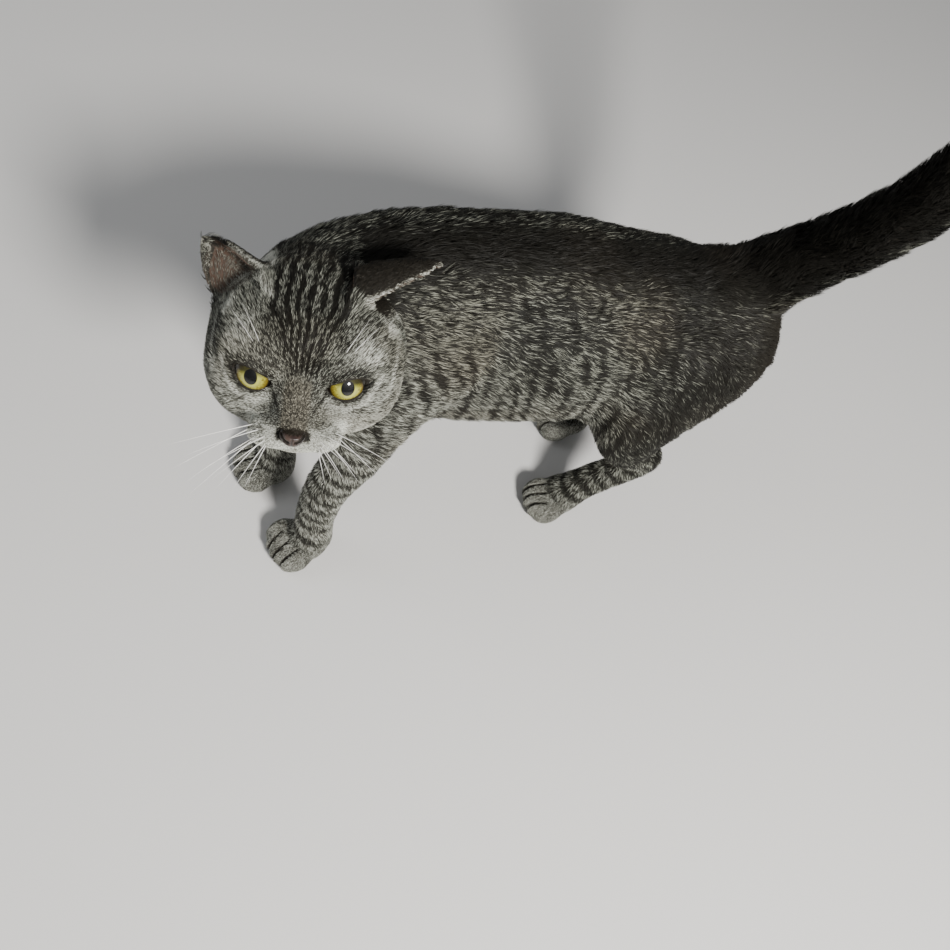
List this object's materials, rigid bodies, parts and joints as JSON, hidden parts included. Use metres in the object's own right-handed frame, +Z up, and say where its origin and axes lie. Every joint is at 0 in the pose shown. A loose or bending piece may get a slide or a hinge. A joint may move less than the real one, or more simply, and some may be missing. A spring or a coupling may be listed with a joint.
{
  "type": "domestic cat",
  "caption": "Life-size still model of a short-haired tabby cat standing on all fours, head turned and raised to its left, tail up.",
  "frame": {"origin": "middle of the footprint of the whole model's box, on the floor", "axes": "-Y towards the cat's chest, +X to the cat's left, +Z up"},
  "size_m": [0.1794, 0.4088, 0.444],
  "materials": {
    "coat": "short tabby fur, grey-brown with dark stripes and spots",
    "eye": "wet, clear eye with a yellow-green iris and a dark pupil",
    "nose_leather": "bare brown-pink skin, slightly moist"
  },
  "bodies": {
    "root": {"trunk": "coat", "rump": "coat", "neck": "coat", "head": "coat", "tail_root": "coat", "tail_middle": "coat", "tail_end": "coat", "thigh_left": "coat", "thigh_right": "coat", "shank_left": "coat", "shank_right": "coat", "hindpaw_left": "coat", "hindpaw_right": "coat", "foreleg_left": "coat", "foreleg_right": "coat", "forepaw_left": "coat", "forepaw_right": "coat", "ear_left": "coat", "ear_right": "coat", "eye_left": "eye", "eye_right": "eye", "nose_leather": "nose_leather"}
  },
  "joints": []
}
